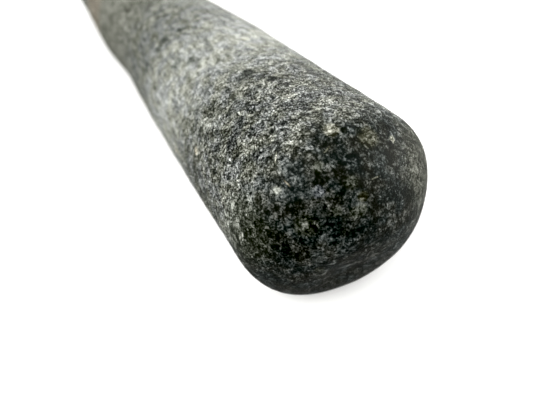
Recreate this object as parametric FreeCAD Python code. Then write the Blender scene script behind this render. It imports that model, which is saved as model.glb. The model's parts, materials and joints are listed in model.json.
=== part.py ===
"""Stone pestle (tejolote) of a molcajete, carved from one block of dark granite.

The pestle lies on its side, as it does on a table. +Z is up and +X points along its length,
from the thin end that the hand holds to the thick end that grinds. The origin is on the table,
under the middle of the pestle. Lengths are in millimetres.
"""
import FreeCAD
import Part

import math
import os

# Driving dimensions
LENGTH = 248.0                # from tip to tip
HEAD_DIAMETER = 51.0          # widest circle, next to the grinding end
HEAD_CROWN_RADIUS = 29.5      # the flatter middle of the grinding end
HEAD_SHOULDER_RADIUS = 12.0   # the tighter curve from there into the side
GRIP_DIAMETER = 36.0          # circle where the thin end starts to round off
GRIP_CROWN_RADIUS = 21.0
GRIP_SHOULDER_RADIUS = 8.5
REST_FLAT_DEPTH = 0.3         # how deep the lowest line of the side is rubbed flat

CUT_MARGIN = 20.0             # how far the block that cuts the flat reaches past the stone


def point(x, radius):
    """A point of the half outline: x along the pestle, radius from its axis."""
    return FreeCAD.Vector(x, 0, radius)


def rounded_end(tip, inward, diameter, crown_radius, shoulder_radius):
    """The two arcs that round off one end: a wide crown on the axis, then a tighter shoulder.

    inward is +1 or -1, the way along X from the tip into the stone. Returns the crown's centre,
    the shoulder's centre and the point where the two arcs meet on one tangent.
    """
    shoulder_off_axis = diameter / 2 - shoulder_radius
    between_centres = crown_radius - shoulder_radius
    between_along_axis = math.sqrt(between_centres ** 2 - shoulder_off_axis ** 2)
    crown = tip + point(inward * crown_radius, 0)
    shoulder = crown + point(-inward * between_along_axis, shoulder_off_axis)
    meeting = crown + (shoulder - crown) * (crown_radius / between_centres)
    return crown, shoulder, meeting


def side_normal(head_shoulder, grip_shoulder):
    """Outward unit normal of the straight side, the line that touches both shoulder arcs."""
    to_grip = grip_shoulder - head_shoulder
    lean = (HEAD_SHOULDER_RADIUS - GRIP_SHOULDER_RADIUS) / to_grip.Length
    to_grip.normalize()
    outward = FreeCAD.Vector(0, 1, 0).cross(to_grip)
    return to_grip * lean + outward * math.sqrt(1 - lean ** 2)


def arc(start, centre, end):
    """The short arc around centre from start to end."""
    middle = (start + end) * 0.5 - centre
    middle.normalize()
    return Part.Arc(start, centre + middle * (start - centre).Length, end).toShape()


def line(start, end):
    return Part.LineSegment(start, end).toShape()


def pestle():
    """One solid of revolution, laid on its side and rubbed flat along the line it rests on."""
    head_tip = point(LENGTH, 0)
    grip_tip = point(0, 0)
    head_crown, head_shoulder, head_meeting = rounded_end(
        head_tip, -1, HEAD_DIAMETER, HEAD_CROWN_RADIUS, HEAD_SHOULDER_RADIUS)
    grip_crown, grip_shoulder, grip_meeting = rounded_end(
        grip_tip, 1, GRIP_DIAMETER, GRIP_CROWN_RADIUS, GRIP_SHOULDER_RADIUS)
    normal = side_normal(head_shoulder, grip_shoulder)
    side_at_head = head_shoulder + normal * HEAD_SHOULDER_RADIUS
    side_at_grip = grip_shoulder + normal * GRIP_SHOULDER_RADIUS
    outline = Part.Wire([
        arc(head_tip, head_crown, head_meeting),
        arc(head_meeting, head_shoulder, side_at_head),
        line(side_at_head, side_at_grip),
        arc(side_at_grip, grip_shoulder, grip_meeting),
        arc(grip_meeting, grip_crown, grip_tip),
        line(grip_tip, head_tip),
    ])
    axis = FreeCAD.Vector(1, 0, 0)
    stone = Part.Face(outline).revolve(grip_tip, axis, 360)

    # Turn it until the underside is level, then lower it into the table by the depth of the flat.
    under_normal = FreeCAD.Vector(normal.x, 0, -normal.z)
    laid = FreeCAD.Rotation(under_normal, FreeCAD.Vector(0, 0, -1))
    underside = laid.multVec(point(side_at_head.x, -side_at_head.z)).z
    head_end = laid.multVec(head_crown).x + HEAD_CROWN_RADIUS
    grip_end = laid.multVec(grip_crown).x - GRIP_CROWN_RADIUS
    shift = FreeCAD.Vector(-(head_end + grip_end) / 2, 0, -underside - REST_FLAT_DEPTH)
    stone.Placement = FreeCAD.Placement(shift, laid)

    above_table = Part.makeBox(
        LENGTH + 2 * CUT_MARGIN,
        HEAD_DIAMETER + 2 * CUT_MARGIN,
        HEAD_DIAMETER + CUT_MARGIN,
        FreeCAD.Vector(-LENGTH / 2 - CUT_MARGIN, -HEAD_DIAMETER / 2 - CUT_MARGIN, 0),
    )
    return stone.common(above_table).Solids[0]


os.makedirs("parts", exist_ok=True)
pestle().exportStep("parts/stone_pestle.step")
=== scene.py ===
"""Stone pestle of a molcajete, lying on a white table with its grinding end near the camera.

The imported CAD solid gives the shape. One visual piece stands for it: the same stone with the
uneven surface of hand dressing and the speckle of dark granite. Lengths are in metres, except
that the stone's relief and speckle are laid out in millimetres.
"""

import json
import math

import bpy
from mathutils import Matrix, Vector, noise


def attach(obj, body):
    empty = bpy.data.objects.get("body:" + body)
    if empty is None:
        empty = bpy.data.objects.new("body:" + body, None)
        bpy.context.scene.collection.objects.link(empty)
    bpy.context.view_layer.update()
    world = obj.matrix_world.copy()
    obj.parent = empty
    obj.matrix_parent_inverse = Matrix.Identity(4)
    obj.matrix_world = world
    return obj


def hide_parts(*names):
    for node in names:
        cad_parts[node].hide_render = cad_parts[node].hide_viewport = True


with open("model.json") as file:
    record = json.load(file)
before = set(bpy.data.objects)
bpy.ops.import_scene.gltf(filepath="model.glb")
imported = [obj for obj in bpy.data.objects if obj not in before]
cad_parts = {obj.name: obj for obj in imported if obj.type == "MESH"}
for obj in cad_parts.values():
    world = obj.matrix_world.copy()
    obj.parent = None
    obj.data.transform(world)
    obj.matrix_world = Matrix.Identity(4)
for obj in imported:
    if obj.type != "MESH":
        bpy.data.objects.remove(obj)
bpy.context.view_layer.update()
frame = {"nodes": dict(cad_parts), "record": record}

MM = 0.001
NODE = "stone_pestle"
MOUNTS = {mount["name"]: mount for mount in frame["record"]["mounts"]}
TIP = Vector(MOUNTS["grinding_end"]["pos_m"])      # middle of the grinding end
TIP_MM = TIP / MM


# ---------------------------------------------------------------- shape of the stone

GRID = 0.7 * MM                # size of the visual mesh's faces

# Unevenness of the surface, as size across and rise in mm
WANDER = (34, 0.55)
FACETS = (9, 0.16)
PECKS = (2.6, 0.11)
PECK_FRACTAL = (0.6, 2.0, 3)   # increment, lacunarity and octaves of their noise
FACETS_APART = Vector((7, 3, 1))    # keeps the facets' noise from repeating the wander's
DOME_LENGTH = 24               # mm of the stone, from the tip, that grinding has worn smooth
DOME_FADE = 4                  # how gently that wear ends, in mm
PECKS_LEFT_ON_DOME = 0.4       # the rest is worn away there

# Swells and hollows left by hand dressing and wear: place from the tip, radius and rise in mm
SWELLS = (
    ((-122, -22, -4), 16, -0.8),
    ((-150, -21, -7), 14, 0.6),
    ((-70, -23, -7), 22, 0.5),
    ((-75, 15, 14), 32, 0.6),
    ((-19, 11, 22), 11, -0.5),
    ((-2, -5, -8), 10, -3.2),
)


def fine_copy_of_cad():
    """The CAD solid as an even grid of small faces."""
    rough = bpy.data.objects.new("rough", frame["nodes"][NODE].data.copy())
    bpy.context.scene.collection.objects.link(rough)
    weld = rough.modifiers.new("closed", "WELD")
    weld.merge_threshold = 0.001 * MM
    remesh = rough.modifiers.new("even_grid", "REMESH")
    remesh.mode = "VOXEL"
    remesh.voxel_size = GRID
    smooth = rough.modifiers.new("no_steps", "SMOOTH")
    smooth.factor = 0.5
    smooth.iterations = 4
    evaluated = rough.evaluated_get(bpy.context.evaluated_depsgraph_get())
    mesh = bpy.data.meshes.new_from_object(evaluated)
    bpy.data.objects.remove(rough)
    return mesh


def relief(place):
    """How far the dressed surface stands out from the even one at a place, in metres."""
    mm = place / MM
    from_tip = mm - TIP_MM
    worn = 1 / (1 + math.exp(-(from_tip.x + DOME_LENGTH) / DOME_FADE))
    pecks_left = 1 - worn * (1 - PECKS_LEFT_ON_DOME)
    height = noise.noise(mm / WANDER[0]) * WANDER[1]
    height += noise.noise(mm / FACETS[0] + FACETS_APART) * FACETS[1]
    height += noise.fractal(mm / PECKS[0], *PECK_FRACTAL) * PECKS[1] * pecks_left
    for middle, radius, rise in SWELLS:
        away = (from_tip - Vector(middle)).length / radius
        height += rise * math.exp(-away ** 2)
    return height * MM


def carved_stone(material):
    """The piece that is seen: the CAD's shape with the relief moved into it."""
    mesh = fine_copy_of_cad()
    dressed = [v.co + v.normal * relief(v.co) for v in mesh.vertices]
    for vertex, place in zip(mesh.vertices, dressed):
        vertex.co = (place.x, place.y, max(place.z, 0))
    mesh.shade_smooth()
    mesh.materials.clear()
    mesh.materials.append(material)
    stone = bpy.data.objects.new("carved_stone", mesh)
    bpy.context.scene.collection.objects.link(stone)
    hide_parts(NODE)
    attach(stone, "root")


# ---------------------------------------------------------------- shader nodes

EYE_GAMMA = 2.2                # from a grey as the eye reads it to its reflectance
RARE_SOFTNESS = 0.25           # how much of a rare share is a blend, to each side of its limit


def add_node(tree, kind, inputs=(), **settings):
    """A shader node with its settings set and its inputs linked or filled in."""
    made = tree.nodes.new(kind)
    for name, value in settings.items():
        setattr(made, name, value)
    for name, value in dict(inputs).items():
        if isinstance(value, bpy.types.NodeSocket):
            tree.links.new(value, made.inputs[name])
        else:
            made.inputs[name].default_value = value
    return made


def math_node(tree, operation, *values):
    return add_node(tree, "ShaderNodeMath", enumerate(values), operation=operation).outputs[0]


def vector_node(tree, operation, *values):
    return add_node(tree, "ShaderNodeVectorMath", enumerate(values), operation=operation).outputs


def step(tree, value, low, high):
    """0 below low, 1 above high, smooth between."""
    limits = {"Value": value, "From Min": low, "From Max": high}
    return add_node(tree, "ShaderNodeMapRange", limits, interpolation_type="SMOOTHSTEP").outputs["Result"]


def mix_values(tree, factor, first, second):
    made = add_node(tree, "ShaderNodeMix", {"Factor": factor, 2: first, 3: second}, data_type="FLOAT")
    return made.outputs[0]


def mix_vectors(tree, factor, first, second):
    made = add_node(tree, "ShaderNodeMix", {"Factor": factor, 4: first, 5: second}, data_type="VECTOR")
    return made.outputs[1]


def noise_field(tree, coords, size, detail=2, roughness=0.5):
    """Noise whose lumps are about size wide."""
    return add_node(tree, "ShaderNodeTexNoise", {
        "Vector": coords, "Scale": 1 / size, "Detail": detail, "Roughness": roughness}).outputs


def cells(tree, coords, size):
    """Three independent random values for each angular cell, about size wide."""
    colour = add_node(tree, "ShaderNodeTexVoronoi", {
        "Vector": coords, "Scale": 1 / size, "Randomness": 1}).outputs["Color"]
    return add_node(tree, "ShaderNodeSeparateColor", {0: colour}).outputs


def turned(tree, coords, angles, slimness):
    """Coordinates turned by angles in degrees and squeezed, so that even cells come out as laths."""
    return add_node(tree, "ShaderNodeMapping", {
        "Vector": coords, "Rotation": [math.radians(angle) for angle in angles],
        "Scale": (slimness, 1, 1)}, vector_type="TEXTURE").outputs[0]


def centred(tree, value):
    """A value of 0 to 1 as one of -0.5 to 0.5."""
    return math_node(tree, "SUBTRACT", value, 0.5)


def rare(tree, value, share):
    """1 in about this share of the cells that value belongs to, and 0 in most of the others."""
    between = RARE_SOFTNESS * share
    return step(tree, value, 1 - share - between, 1 - share + between)


def largest(tree, values):
    found = values[0]
    for value in values[1:]:
        found = math_node(tree, "MAXIMUM", found, value)
    return found


def reflectance(tree, grey, tint):
    """The reflectance of a grey of 0 to 1 as the eye reads it, with a tint added on the same scale."""
    tinted = vector_node(tree, "ADD", grey, tint)["Vector"]
    positive = vector_node(tree, "MAXIMUM", tinted, (0, 0, 0))["Vector"]
    return add_node(tree, "ShaderNodeGamma", {"Color": positive, "Gamma": EYE_GAMMA}).outputs[0]


# ---------------------------------------------------------------- granite

# Sets of lath crystals: turns about X, Y and Z in degrees, then width in mm
LATHS = (
    ((20, 10, 75), 0.6),
    ((70, -45, 60), 0.9),
    ((-40, 50, 105), 0.8),
    ((10, -80, 150), 0.7),
)
LATH_SLIMNESS = 3
SLIVER_SLIMNESS = 8            # slivers lie along the laths and are half as wide

# Sizes in mm of the other grains, and of the patches that the tone drifts in
SIZES = {"block": 2.0, "chip": 0.5, "dust": 0.27, "fine": 0.45, "cloud": 3, "broad": 22}
RAGGEDNESS = 0.8               # size in mm of the wobble in the crystals' outlines

# Shares of the grains that are of a rarer kind. The glints are painted highlights.
SHARES = {"dark_lath": 0.13, "pale_lath": 0.12, "scratch": 0.019, "painted_glint": 0.04,
          "dark_block": 0.125, "pale_block": 0.145}

# Where the finishes change, as distances from the tip in mm: from none to all of each
WORN_DOME = (-25, -13)
ROCK_FLOUR = (-36, -68)
SHEEN_BAND_STARTS = (-98, -68)       # a painted sheen makes the flour palest between here and its near end
SHEEN_BAND_FADES = (8, 24)      # and that painted sheen fades out between these Y
BORDER_LEAN = (1, 0, -0.12)    # the changes lie farther from the tip low on the stone
BORDER_WANDER = 14             # and wander along it by this much
BORDER_PATCHES = 5             # in lobes of this size

# Rock flour, with a band of painted sheen on it
FLOUR_LUMPS = 1.5              # mm across
FLOUR_SLIMNESS = 2.5           # how many times longer they are, along the stone
FLOUR_TONE = 0.52              # on average
FLOUR_CONTRAST = 1.4           # how much the lumps vary about that
SHEEN_BAND_TONE = 0.33               # painted sheen, added to the flour in the palest band
FLOUR_COVER = 0.65             # the rest is the side's own tone, showing through

# Tones of the two finishes of the stone, from 0 for the darkest grey to 1 for the lightest. Grain
# varies about the middle tone. Features are 1 where they occur and 0 elsewhere, and add their
# tone there.
SIDE = {
    "middle": 0.374,
    "darkest": 0.04,
    "lightest": 0.80,
    "grain": {"lath_grey": 0.20, "other_lath_grey": 0.16, "block_grey": 0.12,
              "chips": 0.16, "dust": 0.70, "fine": 0.9, "cloud": 0.40, "broad": 0.25},
    # the glints are painted highlights
    "features": {"dark_lath": -0.28, "pale_lath": 0.13, "scratch": 0.20, "painted_glint": 0.32,
                 "dark_block": -0.14, "pale_block": 0.06},
}
DOME = {
    "middle": 0.152,
    "darkest": 0.10,
    "lightest": 0.43,
    "grain": {"lath_grey": 0.22, "other_lath_grey": 0.24, "block_grey": 0.18,
              "chips": 0.20, "dust": 0.95, "fine": 0.9, "cloud": 0.5},
    # the glints are painted highlights
    "features": {"dark_lath": -0.5, "pale_lath": 0.22, "scratch": 0.4, "painted_glint": 0.4,
                 "dark_block": -0.40, "pale_block": 0.26},
}

TINT_PATCHES = 4               # size in mm of the patches of warmer and cooler grey
WARM_WHERE = (0.35, 0.65)      # their noise turns the tint from cool to warm between these

# Tints, as red, green and blue added to a grey
SIDE_COOL = (-0.012, 0, -0.006)
SIDE_WARM = (-0.008, 0, -0.034)
DOME_COOL = (-0.020, 0, -0.006)
DOME_WARM = (-0.006, 0, -0.018)
PALE = (-0.012, 0, -0.03)
STRAW = (-0.003, 0, -0.045)
RUST = (0.02, 0, -0.06)
BLUISH = (-0.015, 0, 0.008)
DARK = (-0.015, 0, -0.02)
BROWN = (0.022, 0, -0.045)
# the dust tint is also the tint of the painted rim light
DUST_AND_RIM_LIGHT = (-0.006, 0, -0.032)

# Stains and crystals that stand out, and a painted rim light: place from the tip and radius in mm, added
# tone, tint
ACCENTS = (
    # broad tints and patches, one of them a painted rim light
    ((-155, -8, 14), 48, 0.0, DUST_AND_RIM_LIGHT),
    # brown tint low on the left of the far end
    ((-167, -21, 0), 15, 0.01, BROWN),
    # painted rim light on the right edge of the grinding end, tinted like the dust
    ((-9, 17, 12), 11, 0.34, DUST_AND_RIM_LIGHT),
    # slightly paler, straw-tinted patch on the left edge beside the grinding end
    ((-17, -25, 5), 9, 0.06, PALE),

    # crystals on the dome
    ((-10.7, 7.4, 20.7), 0.9, 1.3, STRAW),
    ((-11.8, 1.7, 22.6), 2.6, 0.35, STRAW),
    ((-15.7, -4.6, 24.1), 1.8, 0.35, STRAW),
    ((-4.8, -3.7, 14.9), 1.2, 0.24, STRAW),
    ((-8.8, -11.5, 16.5), 1.4, 0.22, BLUISH),
    ((-7.1, -15.2, 10.4), 0.9, 0.9, PALE),
    ((-7.1, -15.2, 10.4), 2.6, 0.13, PALE),
    ((-13.6, -17.9, 15.9), 1.0, 0.55, PALE),
    ((-11.5, -10.2, 20.1), 1.3, 0.40, PALE),
    ((-7.0, -5.3, 17.5), 1.6, 0.18, PALE),
    ((-5.4, -9.4, 13.0), 1.2, 0.30, PALE),
    ((-3.7, -4.5, 12.5), 1.5, 0.25, PALE),
    ((-3.9, -5.9, 12.3), 1.4, 0.18, PALE),
    ((-3.5, -12.8, -2.3), 1.6, 0.25, PALE),
    ((-14.5, -2.4, 24.1), 0.8, -0.5, DARK),
    ((-13.4, 0.4, 23.6), 0.8, -0.5, DARK),

    # crystals on the side
    ((-64.0, 1.7, 21.2), 1.7, 0.14, STRAW),
    ((-43.0, -23.1, 7.5), 1.0, 0.35, RUST),
    ((-56.3, -24.1, -0.9), 1.0, 0.25, RUST),
    ((-40.2, -3.8, 22.8), 1.2, -0.35, DARK),
    ((-47.1, -6.5, 21.7), 1.8, -0.4, DARK),
    ((-67.5, -13.0, 17.3), 1.7, -0.16, DARK),
    ((-72.4, -15.6, 15.0), 2.2, -0.18, DARK),
    ((-84.4, -8.7, 18.5), 1.7, -0.14, DARK),
    ((-86.4, -15.7, 13.7), 1.7, -0.14, DARK),
    ((-87.1, -13.5, 15.6), 1.7, -0.16, DARK),
    ((-87.8, -20.2, 7.2), 1.8, -0.14, DARK),
)

# Hairline crystals on the dome: place from the tip, direction, half the length in mm, added tone
# and tint
NEEDLES = (
    ((-18.4, -15.4, 19.6), (1.9, -1.5, -1.3), 1.5, 0.5, STRAW),
    ((-12.9, -7.4, 22.2), (-0.4, 1.8, 0.9), 1.1, 0.5, STRAW),
    ((-6.1, 0, 17.1), (0, 1, 0), 1.2, 1.2, STRAW),
    ((-13.1, -16.0, 17.3), (1.6, 0.5, -0.7), 1.0, 0.6, RUST),
)
NEEDLE_HALF_WIDTH = 0.16       # mm
NEEDLE_DEPTH = 3               # mm, enough to reach the surface
CROWN_RADIUS = 29.5            # mm, of the grinding end
MARK_EDGE = (1.2, 0.6)         # accents and needles fade in between these multiples of their size

# Finish of the surface
SPECULAR = 0.08
SIDE_ROUGHNESS = 0.55
DOME_ROUGHNESS = 0.45
PITTING = 0.3                  # height of the pits, beside 1 for the fine grain
BUMP_DEPTH = 0.3 * MM
BUMP_STRENGTH = 0.6


def stone_coordinates(tree):
    """Place on the stone in mm, plain and with a fine wobble that makes ragged edges."""
    place = add_node(tree, "ShaderNodeTexCoord").outputs["Object"]
    mm = vector_node(tree, "MULTIPLY", place, (1 / MM, 1 / MM, 1 / MM))["Vector"]
    wobble = noise_field(tree, mm, RAGGEDNESS, detail=3)["Color"]
    ragged = vector_node(tree, "ADD", mm, wobble)["Vector"]
    return mm, ragged


def minerals(tree, mm, ragged):
    """The fields of 0 to 1 that both finishes are made of, by name."""
    laths = [cells(tree, turned(tree, ragged, angles, LATH_SLIMNESS), width) for angles, width in LATHS]
    slivers = [cells(tree, turned(tree, mm, angles, SLIVER_SLIMNESS), width / 2) for angles, width in LATHS]
    blocks = cells(tree, ragged, SIZES["block"])
    chips = cells(tree, mm, SIZES["chip"])
    dust = cells(tree, mm, SIZES["dust"])
    fields = {
        "lath_grey": laths[0][2],
        "other_lath_grey": laths[1][2],
        "block_grey": blocks[0],
        "chips": chips[0],
        "pits": chips[1],
        "dust": dust[0],
        "fine": noise_field(tree, mm, SIZES["fine"], roughness=0.8)["Fac"],
        "cloud": noise_field(tree, mm, SIZES["cloud"], detail=3)["Fac"],
        "broad": noise_field(tree, mm, SIZES["broad"])["Fac"],
    }
    draws = {
        "dark_lath": [lath[0] for lath in laths],
        "pale_lath": [lath[1] for lath in laths],
        "scratch": [sliver[0] for sliver in slivers],
        # glints: painted highlights on rare dust grains
        "painted_glint": [dust[1]],
        "dark_block": [blocks[1]],
        "pale_block": [blocks[2]],
    }
    for name, values in draws.items():
        fields[name] = largest(tree, [rare(tree, value, SHARES[name]) for value in values])
    return fields


def tone(tree, fields, recipe):
    """The tone of one finish: 0 for its darkest grey and 1 for its lightest."""
    level = recipe["middle"]
    for name, weight in recipe["grain"].items():
        level = math_node(tree, "MULTIPLY_ADD", centred(tree, fields[name]), weight, level)
    for name, gain in recipe["features"].items():
        level = math_node(tree, "MULTIPLY_ADD", fields[name], gain, level)
    return level


def shade_of_grey(tree, level, recipe):
    """The grey of a tone, as the eye reads it. A tone above 1 goes on past the lightest grey."""
    positive = math_node(tree, "MAXIMUM", level, 0)
    span = recipe["lightest"] - recipe["darkest"]
    return math_node(tree, "MULTIPLY_ADD", positive, span, recipe["darkest"])


def distance_from_tip(tree, mm):
    """How far along the stone a place is, 0 at the tip, bent so that borders lean and wander."""
    from_tip = vector_node(tree, "SUBTRACT", mm, TIP_MM)["Vector"]
    leaning = vector_node(tree, "DOT_PRODUCT", from_tip, BORDER_LEAN)["Value"]
    patches = centred(tree, noise_field(tree, mm, BORDER_PATCHES, detail=3)["Fac"])
    return math_node(tree, "MULTIPLY_ADD", patches, BORDER_WANDER, leaning)


def dusted(tree, level, mm, along):
    """The tone of the side where rock flour veils it, lumpy, and palest in one band where a painted sheen
    is added.
    """
    across = add_node(tree, "ShaderNodeSeparateXYZ", {0: mm}).outputs["Y"]
    kept = math_node(tree, "SUBTRACT", 1, step(tree, across, *SHEEN_BAND_FADES))
    # the palest band is a painted sheen, added on top of the flour
    band = math_node(tree, "MULTIPLY", step(tree, along, *SHEEN_BAND_STARTS), kept)
    stretched = turned(tree, mm, (0, 0, 0), FLOUR_SLIMNESS)
    lumps = centred(tree, noise_field(tree, stretched, FLOUR_LUMPS, roughness=0.7)["Fac"])
    flour = math_node(tree, "MULTIPLY_ADD", lumps, FLOUR_CONTRAST, FLOUR_TONE)
    flour = math_node(tree, "MULTIPLY_ADD", band, SHEEN_BAND_TONE, flour)
    veil = math_node(tree, "MULTIPLY", step(tree, along, *ROCK_FLOUR), FLOUR_COVER)
    return mix_values(tree, veil, level, flour)


def ground_tint(tree, mm, worn):
    """Patches of warmer and cooler grey, a few mm wide."""
    patches = noise_field(tree, mm, TINT_PATCHES)["Color"]
    warmth = add_node(tree, "ShaderNodeSeparateColor", {0: patches}).outputs[0]
    warm = step(tree, warmth, *WARM_WHERE)
    side_tint = mix_vectors(tree, warm, SIDE_COOL, SIDE_WARM)
    dome_tint = mix_vectors(tree, warm, DOME_COOL, DOME_WARM)
    return mix_vectors(tree, worn, side_tint, dome_tint)


def accent_distance(tree, ragged, from_tip, radius):
    """Distance from the middle of a crystal, a stain or a patch of painted light, 1 at its outline."""
    mean_wobble = Vector((0.5, 0.5, 0.5))
    centre = TIP_MM + Vector(from_tip) + mean_wobble
    distance = vector_node(tree, "DISTANCE", ragged, centre)["Value"]
    return math_node(tree, "DIVIDE", distance, radius)


def needle_distance(tree, mm, from_tip, direction, half_length):
    """Distance from the middle of a hairline crystal on the dome, 1 at its outline."""
    outward = (Vector(from_tip) + Vector((CROWN_RADIUS, 0, 0))).normalized()
    sideways = outward.cross(Vector(direction)).normalized()
    lengthways = sideways.cross(outward)
    axes = Matrix((lengthways, sideways, outward)).transposed()
    inside = add_node(tree, "ShaderNodeMapping", {
        "Vector": mm, "Location": TIP_MM + Vector(from_tip), "Rotation": axes.to_euler(),
        "Scale": (half_length, NEEDLE_HALF_WIDTH, NEEDLE_DEPTH)}, vector_type="TEXTURE").outputs[0]
    return vector_node(tree, "LENGTH", inside)["Value"]


def marks(tree, mm, ragged):
    """Where each accent and needle is, 0 to 1, with its added tone and its tint."""
    found = []
    for from_tip, radius, gain, tint in ACCENTS:
        found.append((accent_distance(tree, ragged, from_tip, radius), gain, tint))
    for from_tip, direction, half_length, gain, tint in NEEDLES:
        found.append((needle_distance(tree, mm, from_tip, direction, half_length), gain, tint))
    return [(step(tree, distance, *MARK_EDGE), gain, tint) for distance, gain, tint in found]


def granite():
    """Dark granite: laths of dark and pale crystal in a finer grey ground, darker on the dome, with painted
    glints, a band of painted sheen and a painted rim light.
    """
    material = bpy.data.materials.new("speckled_granite")
    material.use_nodes = True
    tree = material.node_tree
    tree.nodes.clear()
    mm, ragged = stone_coordinates(tree)
    fields = minerals(tree, mm, ragged)
    along = distance_from_tip(tree, mm)
    worn = step(tree, along, *WORN_DOME)
    side = dusted(tree, tone(tree, fields, SIDE), mm, along)
    dome = tone(tree, fields, DOME)
    tint = ground_tint(tree, mm, worn)
    for here, gain, mark_tint in marks(tree, mm, ragged):
        side = math_node(tree, "MULTIPLY_ADD", here, gain, side)
        dome = math_node(tree, "MULTIPLY_ADD", here, gain, dome)
        tint = mix_vectors(tree, here, tint, mark_tint)
    grey = mix_values(tree, worn, shade_of_grey(tree, side, SIDE), shade_of_grey(tree, dome, DOME))
    height = math_node(tree, "MULTIPLY_ADD", fields["pits"], PITTING, fields["fine"])
    bump = add_node(tree, "ShaderNodeBump", {
        "Height": height, "Distance": BUMP_DEPTH, "Strength": BUMP_STRENGTH})
    shader = add_node(tree, "ShaderNodeBsdfPrincipled", {
        "Base Color": reflectance(tree, grey, tint), "Normal": bump.outputs[0],
        "Specular IOR Level": SPECULAR,
        "Roughness": mix_values(tree, worn, SIDE_ROUGHNESS, DOME_ROUGHNESS)})
    add_node(tree, "ShaderNodeOutputMaterial", {"Surface": shader.outputs[0]})
    return material


# ---------------------------------------------------------------- table and light

TABLE_SIZE = 6
TABLE_ROUGHNESS = 0.6
TABLE_SEEN = 0.9               # reflectance of the table as the camera sees it
TABLE_BOUNCE = 0.35            # and as a source of bounced light, as a small sheet would be
TABLE_GLOW = 0.22              # keeps the shadow on it faint
ROOM_LIGHT = 1.1
PHOTOGRAPHER_SHADE = 0.46      # room light from where the photographer stands
TOWARD_PHOTOGRAPHER = Vector((0.95, -0.2, 0.35)).normalized()
SHADE_EDGE = (0.2, 0.95)       # cosine of the angle from there, where the shade starts and is full
SOFTBOX_DISTANCE = 1.5
SOFTBOX_HALF_WIDTH = math.radians(20)
SOFTBOX_COLOUR = (1, 0.995, 0.95)

# Softboxes: degrees clockwise from the way the camera looks, degrees up, brightness
SOFTBOXES = {
    "behind": (0, 12, 0.50),
    "right": (86, 12, 0.95),
    "above_left": (232, 48, 0.95),
}


def seen_by_camera(tree):
    """1 for what the camera looks at directly, 0 for reflected and bounced light."""
    return add_node(tree, "ShaderNodeLightPath").outputs["Is Camera Ray"]


def white_table():
    """White to look at, and a weaker source of bounced light than that white would be."""
    material = bpy.data.materials.new("white_table")
    material.use_nodes = True
    tree = material.node_tree
    shader = tree.nodes["Principled BSDF"]
    seen = seen_by_camera(tree)
    tree.links.new(mix_values(tree, seen, TABLE_BOUNCE, TABLE_SEEN), shader.inputs["Base Color"])
    tree.links.new(math_node(tree, "MULTIPLY", seen, TABLE_GLOW), shader.inputs["Emission Strength"])
    shader.inputs["Emission Color"].default_value = (1, 1, 1, 1)
    shader.inputs["Roughness"].default_value = TABLE_ROUGHNESS
    return material


def table():
    bpy.ops.mesh.primitive_plane_add(size=TABLE_SIZE)
    top = bpy.context.object
    top.name = "table"
    top.data.materials.append(white_table())


def surroundings():
    """Light from all round, weaker from where the photographer stands, and plain white to look at."""
    world = bpy.data.worlds.new("room")
    bpy.context.scene.world = world
    world.use_nodes = True
    tree = world.node_tree
    way = add_node(tree, "ShaderNodeTexCoord").outputs["Generated"]
    facing = vector_node(tree, "DOT_PRODUCT", way, TOWARD_PHOTOGRAPHER)["Value"]
    light = mix_values(tree, step(tree, facing, *SHADE_EDGE), ROOM_LIGHT, PHOTOGRAPHER_SHADE)
    strength = mix_values(tree, seen_by_camera(tree), light, 1)
    background = tree.nodes["Background"]
    background.inputs["Color"].default_value = (1, 1, 1, 1)
    tree.links.new(strength, background.inputs["Strength"])


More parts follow.
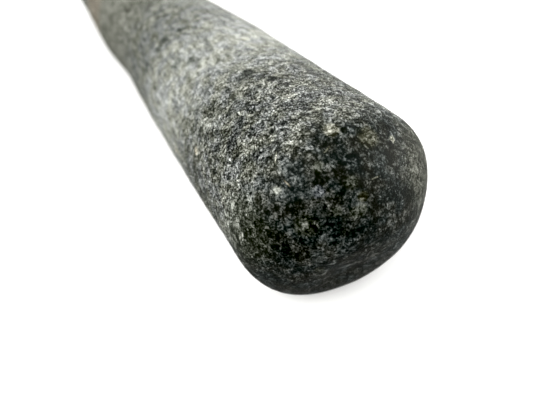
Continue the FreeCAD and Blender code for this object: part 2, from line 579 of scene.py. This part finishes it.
def softbox(name, turn, elevation, brightness):
    """A round softbox turn degrees clockwise from the way the camera looks, aimed at the pestle.

    brightness is what it adds to a white surface that faces it.
    """
    lamp = bpy.data.lights.new(name, "AREA")
    lamp.shape = "DISK"
    lamp.size = 2 * SOFTBOX_DISTANCE * math.tan(SOFTBOX_HALF_WIDTH)
    lamp.color = SOFTBOX_COLOUR
    lamp.energy = brightness * (math.pi * SOFTBOX_DISTANCE) ** 2
    holder = bpy.data.objects.new(name, lamp)
    bpy.context.scene.collection.objects.link(holder)
    heading = CAMERA_HEADING - math.radians(turn)
    up = math.radians(elevation)
    toward = Vector((-math.sin(heading) * math.cos(up), math.cos(heading) * math.cos(up), math.sin(up)))
    holder.location = toward * SOFTBOX_DISTANCE
    holder.rotation_euler = toward.to_track_quat("Z", "Y").to_euler()


# ---------------------------------------------------------------- camera

LENS = 29.1                             # mm, at full frame
SENSOR_WIDTH = 36                       # mm, of the full frame
CAMERA_FROM_TIP = Vector((38.7, -49.5, 73.3)) * MM
CAMERA_PITCH = math.radians(44.8)       # down from level
CAMERA_HEADING = math.radians(60.2)     # to the left of +Y
FOCUS_FROM_TIP = Vector((-27, 0, 25)) * MM
APERTURE_DIAMETER = 2.4                 # mm
BLACK_LEVEL = 0.014                     # the scene light that comes out black


def phone_camera():
    """A phone held close over the grinding end."""
    data = bpy.data.cameras.new("phone")
    camera = bpy.data.objects.new("phone", data)
    bpy.context.scene.collection.objects.link(camera)
    camera.location = TIP + CAMERA_FROM_TIP
    camera.rotation_euler = (math.pi / 2 - CAMERA_PITCH, 0, CAMERA_HEADING)
    data.lens = LENS
    data.sensor_width = SENSOR_WIDTH
    data.clip_start = 5 * MM
    focus = bpy.data.objects.new("focus", None)
    bpy.context.scene.collection.objects.link(focus)
    focus.location = TIP + FOCUS_FROM_TIP
    data.dof.use_dof = True
    data.dof.focus_object = focus
    data.dof.aperture_fstop = LENS / APERTURE_DIAMETER
    bpy.context.scene.camera = camera


def phone_tones():
    """Plain tones with the deep blacks that a phone gives."""
    tones = bpy.context.scene.view_settings
    tones.view_transform = "Standard"
    tones.use_curve_mapping = True
    tones.curve_mapping.black_level = (BLACK_LEVEL, BLACK_LEVEL, BLACK_LEVEL)
    tones.curve_mapping.update()


carved_stone(granite())
table()
surroundings()
for name, placing in SOFTBOXES.items():
    softbox(name, *placing)
phone_camera()
phone_tones()
